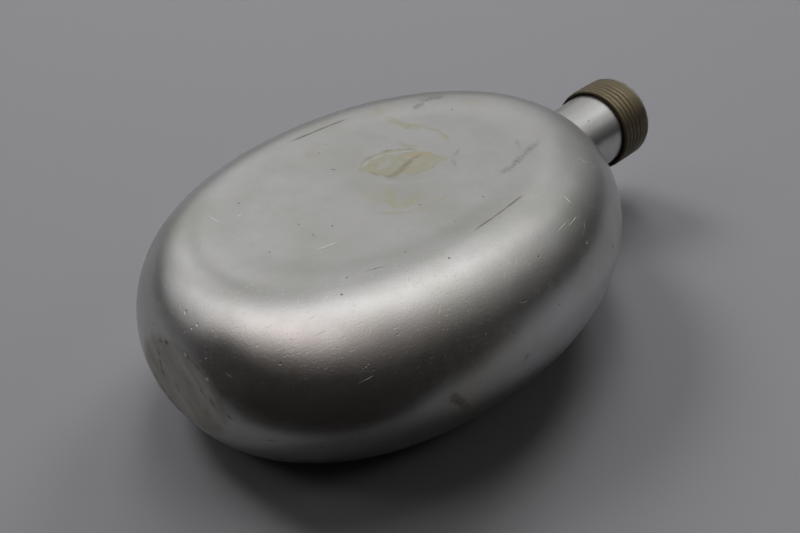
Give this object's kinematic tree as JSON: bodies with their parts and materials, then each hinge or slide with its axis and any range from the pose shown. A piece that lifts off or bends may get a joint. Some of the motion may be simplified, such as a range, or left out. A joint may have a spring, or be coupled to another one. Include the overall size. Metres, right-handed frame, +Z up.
{
  "type": "camping fuel bottle",
  "caption": "Flat oval fuel flask of drawn aluminium with a threaded neck ring and a ribbed screw cap that seals on a disc and unscrews off the neck.",
  "frame": {"origin": "centre of the bounding box at the flat face that the bottle lies on", "axes": "+Z up, out of the upper flat face; +X along the neck, from the standing foot to the cap; +Y across the width"},
  "size_m": [0.1856, 0.112, 0.052],
  "materials": {
    "aluminium": "satin drawn aluminium, dulled, with fine scratches, pits and old glue stains",
    "ring_brass": "plain brass, dulled in the thread's root",
    "cap_brass": "tarnished olive brown brass, worn pale on the top's edge",
    "gasket_rubber": "matt black rubber"
  },
  "bodies": {
    "bottle": {"bottle_shell": "aluminium", "threaded_neck_ring": "ring_brass"},
    "seal": {"cap_gasket": "gasket_rubber"},
    "cap": {"screw_cap": "cap_brass"}
  },
  "joints": [
    {"name": "cap_travel", "type": "slide", "parent": "bottle", "child": "seal", "axis": [1, 0, 0], "range_m": [0, 0.0125]},
    {"name": "cap_turn", "type": "hinge", "parent": "seal", "child": "cap", "pos_m": [0.08575, 0, 0.026], "axis": [1, 0, 0], "range_deg": [0, 2160]}
  ],
  "couplings": [
    {"joint": "cap_travel", "follows": "cap_turn", "m_per_rad": 0.00031831}
  ]
}
